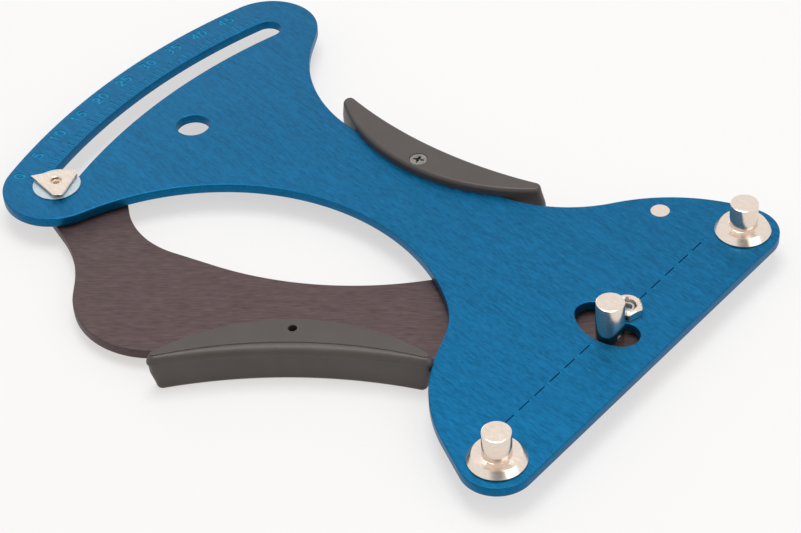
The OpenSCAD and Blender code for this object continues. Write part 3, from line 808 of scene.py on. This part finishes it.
# %% Arm plate
NOTCH_R, TOUCH = 13.8, 6.2
notch_turn = np.degrees(np.arccos(
    (NOTCH_R ** 2 + EAR_R ** 2 - TOUCH ** 2) / (2 * NOTCH_R * EAR_R)))
stem, heel, bay = (-21.8, -14.9, 30), (-127.5, -28.7, 25.6), (47.2 - SLOT_R, 14.8, -28)
head = (*POINTER, 6.5)
ARM_ARCS = [
    (*MOVING_POST, 9.4), (*EAR, 3.2), (*polar(NOTCH_R, EAR_AT + notch_turn), -3),
    (0, 0, 10.8), stem,
    nestled(stem, bay, -97, 2.7, 1.4), bay, (13.5 - SLOT_R, -1, 9), head,
    nestled(head, heel, -45, 3, 0.1), heel]
arm_outline = turned_by(outline(ARM_ARCS), REST)
arm_seats = [circle(*turned_by(place, REST), r) for place, r in (
    (np.zeros(2), 4.1), (MOVING_POST, POST_SEAT), (EAR, 1.55), (LOWER_GRIP, 1.5),
    (POINTER, 1.55))]
arm_parts = plate(arm_outline, [], arm_seats, ARM_TOP, FOOT, SOFT)
make_piece("dark_plate", arm_parts, dark_anodised, "arm", ["arm_plate"],
           flat_above=FLAT)

# %% [markdown]
# Many pieces are turned: half a section, spun about its axis. That holds for the posts and
# screws, and for the bores in the grips, so the function comes before all of them.

# %% Turned shapes
def spun(profile, place=(0, 0), count=96):
    """A surface from radius and height along a profile, spun about the axis at place. Points
    on the axis are one, and are joined when the piece is made."""
    profile = np.array(profile, float)
    t = np.linspace(0, 2 * np.pi, count, endpoint=False)
    x = place[0] + np.outer(profile[:, 0], np.cos(t))
    y = place[1] + np.outer(profile[:, 0], np.sin(t))
    z = np.broadcast_to(profile[:, 1:2], x.shape)
    return np.stack([x, y, z], axis=-1).reshape(-1, 3), grid_faces(len(profile), count)


print("a turned disc has", len(spun([[0, 0], [1, 0], [1, 1], [0, 1]])[1]), "faces")

# %% [markdown]
# The grips are one moulding used twice, the lower one turned over. In plan it is a crescent:
# an inner wall, an outer wall and two round tips, which are again circles that touch. Each
# ring of the surface is that plan with its walls drawn in, at one height.

# %% Plan of a grip
GRIP_H = 12.0
GRIP_IN, GRIP_OUT = 4.2, 8.7
GRIP_IN_R, GRIP_OUT_R = 60.0, 158.0
GRIP_TURN = 18.2
TAPER = 12.0
TIP_POINTS, WALL_POINTS = 10, 90


def crescent(inset_in, inset_out, tip):
    """The plan as one ring of points. The tips' centres are where a circle of the inner
    wall's radius less the tip and one of the outer wall's radius plus the tip cross. An inset
    of the outer wall is full in the middle and fades to the tips, as its circle gets tighter."""
    outer_r = GRIP_OUT_R - TAPER * inset_out
    a, b = GRIP_IN_R - inset_in - tip, outer_r + tip
    ya, yb = GRIP_IN_R - GRIP_IN, outer_r + GRIP_OUT - inset_out
    y = (a * a - b * b + yb * yb - ya * ya) / (2 * (yb - ya))
    x = np.sqrt(a * a - (y - ya) ** 2)
    left, right_tip = np.array([-x, y, tip]), np.array([x, y, tip])
    inner, outer = np.array([0, ya, a + tip]), np.array([0, yb, -(b - tip)])
    ring = []
    for before, arc, after, count in (
            (outer, left, inner, TIP_POINTS), (left, inner, right_tip, WALL_POINTS),
            (inner, right_tip, outer, TIP_POINTS), (right_tip, outer, left, WALL_POINTS)):
        start, turn = swing(before, arc, after)
        ring.append(on_arc(arc, start + turn * np.arange(count) / count))
    return np.vstack(ring)


print("a ring has", len(crescent(0, 0, 2)), "points")

# %% [markdown]
# The side that is up on the lower grip has a flat crescent, a fine step and a round bead. Over
# the bead the outer wall leans in towards the other side, which is flat with rounded edges
# and holds the screw's head. The rings are listed from the beaded side up.

# %% Section of a grip
def grip_section():
    """Height, insets of both walls and tip radius, ring by ring. The bead is a quarter of an
    ellipse that stands proud of the wall, and each edge of the far side is one too."""
    t = np.linspace(0, np.pi / 2, 9)
    rise, lean = np.sin(t), 1 - np.cos(t)
    step = [[0, 0.75, 3.3, 0.85], [0.06, 0.62, 3.2, 0.9], [0.28, 0.5, 3.12, 1.0]]
    bead = np.c_[0.3 + 2.2 * lean, 0.45 - 0.35 * rise, 2.9 - 2.85 * rise, 1.1 + 0.8 * rise]
    ledge = [[2.62, 0.1, 0.12, 1.88], [2.75, 0.1, 0.6, 1.8], [6.0, 0.0, 0.65, 1.9]]
    far = np.c_[GRIP_H - 1.4 + 1.4 * rise, 0.2 + 1.05 * lean, 1.05 + 1.15 * lean,
                1.95 - 0.9 * lean]
    return np.vstack([step, bead, ledge, far])


print("a grip has", len(grip_section()), "rings")

# %% [markdown]
# Last the rings become walls, a bore for the screw is spun, and both flat sides are filled
# round it. The lower grip is turned over and placed in the arm.

# %% Both grips
BORE_SIDES = 48
BORE = [[1.38, 0], [1.25, 0.12], [1.25, 2.2], [1.48, 2.4], [1.48, 10.1], [2.62, 11.75],
        [2.75, GRIP_H]]


def on_grip(points, lower):
    """Grip coordinates to the tool: the lower one is turned over, then placed in the arm."""
    points = np.array(points, float)
    if not lower:
        return points + [*UPPER_GRIP, 0]
    flat = np.c_[points[:, 0], -points[:, 1]]
    flat = turned_by(turned_by(flat, GRIP_TURN) + LOWER_GRIP, REST)
    return np.c_[flat, GRIP_H - points[:, 2]]


def grip_parts(lower):
    """Walls from rings, a bore for the screw, and both flat sides with the bore's holes."""
    rings = np.stack([np.c_[plan, np.full(len(plan), row[0])] for row, plan in
                      ((row, crescent(*row[1:])) for row in grip_section())])
    walls = rings.reshape(-1, 3), grid_faces(*rings.shape[:2])
    hole = spun(BORE, count=BORE_SIDES)
    near = flat_face(rings[0][:, :2], [hole[0][:BORE_SIDES, :2]], 0.0)
    far = flat_face(rings[-1][:, :2], [hole[0][-BORE_SIDES:, :2]], GRIP_H)
    return [(on_grip(points, lower), faces) for points, faces in (walls, hole, near, far)]


GRIPS = (("upper_grip", "frame", False), ("lower_grip", "arm", True))
for name, body, lower in GRIPS:
    make_piece(name + "_moulding", grip_parts(lower), grip_plastic, body,
               [name], flat_above=FLAT)

# %% [markdown]
# The three posts are turned. A lathe tool leaves fine rings on the face of a post, so the
# profile of the top face is a shallow wave, which catches light as the real one does. The
# shank below it is smooth. The fixed posts have a coned collar, and the moving one has none.

# %% Posts
def faced_top(r, height, chamfer=0.3, pitch=0.42, depth=0.004):
    """Profile of a faced end: up the chamfer, then waves of this pitch in to the axis."""
    radii = np.linspace(r - chamfer, 0, 60)
    waves = height - depth * (1 - np.cos(2 * np.pi * radii / pitch))
    return [[r, height - chamfer], [r - 0.25 * chamfer, height - 0.35 * chamfer],
            *np.c_[radii, waves].tolist()]


POST_TOP = FACE_TOP + 9.9
COLLAR_TOP = FACE_TOP + 2.4
fixed_profile = [
    [0, FACE_LOW - 1], [3.1, FACE_LOW - 1], [3.7, FACE_LOW - 0.4], [3.7, FACE_LOW],
    [3.0, FACE_LOW], [3.0, FACE_TOP], [7.85, FACE_TOP], [8.0, FACE_TOP + 0.12],
    [8.0, FACE_TOP + 0.5], [7.9, FACE_TOP + 0.62], [6.8, COLLAR_TOP - 0.16],
    [6.6, COLLAR_TOP], [4.25, COLLAR_TOP], [4.05, COLLAR_TOP + 0.08],
    [4.0, COLLAR_TOP + 0.3], *faced_top(4.0, POST_TOP)]
for name, place in (("near_post", NEAR_POST), ("far_post", FAR_POST)):
    make_piece(name + "_turned", [spun(fixed_profile, place)], plated_steel, "frame",
               [name])
moving_profile = [
    [0, FOOT], [3.7, FOOT], [3.7, FOOT + 0.9], [3.0, FOOT + 0.9], [3.0, ARM_TOP],
    [4.0, ARM_TOP], *faced_top(4.0, POST_TOP + 0.4)]
make_piece("moving_post_turned", [spun(moving_profile, turned_by(MOVING_POST, REST))],
           plated_steel, "arm", ["moving_post"])

# %% [markdown]
# The pivot nut is a thin hexagon with its corners turned off at 30 degrees. The radius of a
# rounded hexagon is a formula of the angle, and where the cone meets it follows from the same
# radius, so the scallops on the flats come by themselves.

# %% Pivot nut
NUT_H = 2.7


def hexagon(t, across, corner=0.55):
    """Distance to the flats of a hexagon at angle t, held back near the corners."""
    to_flat = across / 2 / np.cos((t % (np.pi / 3)) - np.pi / 6)
    return np.minimum(to_flat, across / 2 / np.cos(np.pi / 6) - corner * 0.3)


def nut_parts(across=8.0, bore=2.55, turn=12.0, count=144):
    """Rings: the bore's foot, the base, the side up to the cone, the cone's top and the bore."""
    t = np.linspace(0, 2 * np.pi, count, endpoint=False)
    r = hexagon(t, across)
    brim = across / 2 - 0.3
    top = FACE_TOP + NUT_H
    meets = top - 0.12 - np.maximum(r - brim, 0) * 0.62
    rings = [(bore, FACE_TOP), (r - 0.1, FACE_TOP), (r, FACE_TOP + 0.1), (r, meets),
             (brim, top), (bore + 0.35, top), (bore, top - 0.35), (bore, FACE_TOP)]
    radii, heights = (np.stack([np.broadcast_to(ring[i], count) for ring in rings])
                      for i in (0, 1))
    a = t + np.radians(turn)
    points = np.stack([radii * np.cos(a), radii * np.sin(a), heights], axis=-1)
    return [(points.reshape(-1, 3), grid_faces(len(rings), count))]


make_piece("pivot_nut_hexagon", nut_parts(), plated_steel, "frame",
           ["pivot_nut"])

# %% [markdown]
# The pivot screw ends inside the nut, and the pointer screw inside the pointer. Both ends are
# turned hollow with a chamfer, so from above each shows as a ring with a dark dot.

# %% Pivot screw and pointer screw
screw_end = FACE_TOP + NUT_H - 1.0
pivot_profile = [
    [0, 0], [1.6, 0], [4.9, 0.0], [5.3, 0.12], [5.5, 0.4], [5.5, FOOT - 0.05], [3.0, FOOT - 0.05],
    [3.0, FACE_LOW], [2.5, FACE_LOW], [2.5, screw_end - 0.5], [2.0, screw_end], [1.5, screw_end],
    [1.4, screw_end - 0.1], [1.4, screw_end - 1.6], [0, screw_end - 1.9]]
make_piece("pivot_screw_turned", [spun(pivot_profile)], dull_steel, "frame",
           ["pivot_screw"])

pointer_place = turned_by(POINTER, REST)
STACK_TOP = FACE_TOP + 0.05
WASHER_TOP = STACK_TOP + 0.3
POINTER_Z = WASHER_TOP + 0.8
POINTER_TOP = POINTER_Z + 0.6
tip_profile = [
    [0, FOOT - 1.9], [2.6, FOOT - 1.9], [3.1, FOOT - 1.5], [3.2, FOOT - 1.2], [3.2, FOOT],
    [1.5, FOOT], [1.5, WASHER_TOP], [2.6, WASHER_TOP], [2.6, POINTER_Z], [1.78, POINTER_Z],
    [1.78, POINTER_TOP - 0.15], [1.7, POINTER_TOP - 0.08], [1.6, POINTER_TOP - 0.15],
    [1.5, POINTER_TOP - 0.85], [0.95, POINTER_TOP - 0.95], [0.9, STACK_TOP - 0.3],
    [0, STACK_TOP - 0.5]]
make_piece("pointer_screw_turned", [spun(tip_profile, pointer_place, 64)], plated_steel,
           "arm", ["pointer_screw"])

# %% [markdown]
# The grip screws have countersunk heads with a cross recess. Seen from above the recess is a
# cross that narrows with depth, so the head's face is a polar grid whose height is lowered by
# a smooth function of the distance to the two slots.

# %% Grip screws
HEAD_R = 2.5
RECESS_TURN = 20


def cross_depth(x, y, half=0.5, reach=1.75, depth=1.4):
    """Depth of the recess: full where either slot is, falling to nothing at its walls, and a
    quarter less far from the middle."""
    def slot_of(along, across):
        width = half * (1.15 - np.abs(along) / (reach * 1.4))
        wall = np.clip((width - np.abs(across)) / 0.12, 0, 1)
        end = np.clip((reach - np.abs(along)) / 0.35, 0, 1)
        return wall * end
    shallower = 1 - 0.25 * np.clip(np.hypot(x, y) / reach, 0, 1)
    return depth * np.maximum(slot_of(x, y), slot_of(y, x)) * shallower


def grip_screw_parts(lower):
    """The shank and the countersunk cone as a spun profile, closed by the recessed face."""
    top = GRIP_H - 0.2
    shank = spun([[0, 1.7], [0.35, 1.7], [1.0, 2.6], [1.45, 3.2], [1.45, top - 1.7],
                  [2.55, top - 0.12], [2.58, top - 0.05], [HEAD_R, top]])
    radii = np.linspace(HEAD_R, 0, 50)
    t = np.linspace(0, 2 * np.pi, 96, endpoint=False)
    x, y = np.outer(radii, np.cos(t)), np.outer(radii, np.sin(t))
    c, s = polar(1, RECESS_TURN)
    z = top - cross_depth(c * x + s * y, c * y - s * x)
    face = np.stack([x, y, z], axis=-1).reshape(-1, 3), grid_faces(*x.shape)
    return [(on_grip(points, lower), faces) for points, faces in (shank, face)]


for name, body, lower in GRIPS:
    make_piece(name + "_screw_cross", grip_screw_parts(lower), worn_plate, body,
               [name + "_screw"])

# %% [markdown]
# The pointer is a thin three-cornered plate that stands on the screw's shoulder, clear of the
# washer. Its corners are tiny arcs, so the same outline function draws it.

# %% Pointer
pointer_arcs = [(-8.0, -0.42, 0.15), (2.7, -6.1, 0.3), (4.55, -5.35, 0.35), (4.1, 4.75, 0.35),
                (3.2, 5.85, 0.35), (0.1, 5.15, 0.4)]
pointer_loop = turned_by(outline(pointer_arcs, 0.12) + POINTER, REST)
pointer_hole = circle(*pointer_place, 1.8, 0.15)
pointer_parts = plate(pointer_loop, [pointer_hole], [], POINTER_TOP, POINTER_Z, 0.08)
make_piece("pointer_plate", pointer_parts, plated_steel, "arm", ["pointer"],
           flat_above=FLAT)

# %% [markdown]
# One corner of the pointer is bent down as a foot that reaches the washer. It is a strip: a
# spine that runs level, round a quarter circle and straight down, with four edges beside it.

# %% Foot of the pointer
BEND_R = 0.3
FOOT_AT = 6.0
TAB_W, TAB_H = 0.4, 0.28
bend = np.linspace(0, np.pi / 2, 8)
fall = POINTER_Z + BEND_R - WASHER_TOP - 0.02
spine = np.c_[np.r_[-1.0, BEND_R * np.sin(bend), BEND_R],
              np.r_[0, BEND_R * (np.cos(bend) - 1), -fall]]
normal = np.c_[np.r_[0, np.sin(bend), 1], np.r_[1, np.cos(bend), 0]]
edges = []
for across, lift in ((-TAB_W, TAB_H), (TAB_W, TAB_H), (TAB_W, -TAB_H), (-TAB_W, -TAB_H)):
    line = spine + normal * lift
    edges.append(np.c_[line[:, 0] + FOOT_AT, np.full(len(line), across),
                       line[:, 1] + POINTER_Z + BEND_R])
tab = np.stack(edges, axis=1)
corner_turn = np.degrees(np.arctan2(-5.9, 3.7))
flat = turned_by(turned_by(tab[..., :2].reshape(-1, 2), corner_turn) + POINTER, REST)
tab_points = np.c_[flat, tab[..., 2].reshape(-1)]
ends = [[0, 1, 2, 3], [len(tab_points) - 1 - i for i in range(4)]]
make_piece("pointer_foot", [(tab_points, grid_faces(len(tab), 4).tolist() + ends)],
           plated_steel, "arm")

# %% [markdown]
# The washer under the pointer is a thin disc of nylon with a soft edge, wide enough to cover
# the slot.

# %% Washer on the face
WASHER_R = 7.1
washer_profile = [
    [1.55, STACK_TOP], [WASHER_R - 0.1, STACK_TOP], [WASHER_R, STACK_TOP + 0.08],
    [WASHER_R, WASHER_TOP - 0.1], [WASHER_R - 0.12, WASHER_TOP], [1.55, WASHER_TOP],
    [1.55, STACK_TOP]]
make_piece("washer_on_face", [spun(washer_profile, pointer_place)], nylon, "arm",
           ["upper_slide_washer"])

# %% [markdown]
# The return spring is one wire: a hook round the arm's pin, a straight lead, close curls and a
# hook round the anchor. Its centre line is a formula of the distance along the spring, piece
# by piece. The number of curls follows from the length that is left between the leads.

# %% Line of the return spring
WIRE = 1.1
CURL_R = 2.25
CURL_GAP = 0.45
LEAD = 5.2
HOOK_TURN = 250
SPRING_Z = 3.3
PIN_Z = (0.95 + FOOT) / 2
pin_at = np.array(polar(EAR_R, EAR_AT + REST))
run = ANCHOR - pin_at
length = np.hypot(*run)
heading = np.arctan2(run[1], run[0])
first = -np.arcsin(min(1, (SPRING_Z - PIN_Z) / CURL_R))
ease = np.pi / 2
whole = np.floor((length - 2 * LEAD) / (WIRE + CURL_GAP) - 1)
turn = 2 * np.pi * whole + np.pi - first - 2 * ease


def on_curl(s, angle):
    """A point of the coil at distance s along the spring and at this angle round it."""
    return np.c_[s, CURL_R * np.cos(angle), SPRING_Z + CURL_R * np.sin(angle)]


def spring_line():
    """The wire's centre line, piece by piece: hook, lead, curls, lead and hook."""
    t = np.radians(90 + HOOK_TURN * (1 - np.linspace(0, 1, 40)))
    hook = np.c_[CURL_R * np.cos(t), CURL_R * np.sin(t), np.full(40, PIN_Z)]
    u = np.linspace(0, 1, 14)[:-1]
    lead = on_curl(2 + 3.2 * (1 - (1 - u) ** 2), first + ease * u * u)
    lead[:, 1] += (CURL_R - CURL_R * np.cos(first)) * (1 - u) ** 3
    u = np.linspace(0, 1, int(turn / (2 * np.pi) * 24))
    coil = on_curl(LEAD + (length - 2 * LEAD) * u, first + ease + turn * u)
    u = np.linspace(0, 1, 14)[1:]
    back = on_curl(length - LEAD + 3.2 * u * u,
                   first + ease + turn + ease * (1 - (1 - u) ** 2))
    t = np.radians(-90 + HOOK_TURN * np.linspace(0, 1, 40))
    end = np.c_[length + CURL_R * np.cos(t), CURL_R * np.sin(t), np.full(40, SPRING_Z)]
    return np.vstack([hook, lead, coil, back, end])


print("spring:", round(turn / (2 * np.pi), 1), "curls,", len(spring_line()), "points")

# %% [markdown]
# The tube is a ring of points carried along that line in a frame that doesn't twist. The
# spring stretches between the two plates, so it is tied to neither body.

# %% Return spring
def tube(line, radius, sides=14):
    """Rings round a line. Each ring's frame is the one before, turned by as little as the line
    turns, so the tube doesn't twist."""
    way = np.gradient(line, axis=0)
    way = way / np.linalg.norm(way, axis=1)[:, None]
    normal = np.cross(way[0], [0.3, 0.5, 0.8])
    frames = []
    for w in way:
        normal = normal - (normal @ w) * w
        normal = normal / np.linalg.norm(normal)
        frames.append(normal)
    a = np.array(frames)
    b = np.cross(way, a)
    t = np.linspace(0, 2 * np.pi, sides, endpoint=False)
    cos, sin = np.cos(t)[None, :, None], np.sin(t)[None, :, None]
    rings = line[:, None] + radius * (cos * a[:, None] + sin * b[:, None])
    faces = grid_faces(len(line), sides).tolist()
    last = sides * (len(line) - 1)
    return rings.reshape(-1, 3), faces + [list(range(sides)), list(range(last, last + sides))]


points, faces = tube(spring_line(), WIRE / 2)
flat = turned_by(points[:, :2], np.degrees(heading)) + pin_at
spring = make_piece("coil_spring", [(np.c_[flat, points[:, 2]], faces)], spring_wire, None,
                    ["return_spring"])
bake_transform(spring)

# %% [markdown]
# The pieces that stay as the CAD made them are small, plain and mostly hidden: the bush, the
# anchor, its clip, the arm's pin and the nylon pieces in the slot. They only take the finish
# of what they are made of.

# %% Finishes on the CAD pieces
STAYS = {
    "pivot_bush": bronze, "spring_anchor": plated_steel, "spring_clip": dull_steel,
    "spring_pin": dull_steel, "lower_slide_washer": nylon, "guide_bush": nylon}
for node, material in STAYS.items():
    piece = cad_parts[node]
    if not piece.material_slots:
        piece.data.materials.append(material)
    for place in piece.material_slots:
        place.material = material
print(len(STAYS), "CAD pieces keep their shape")
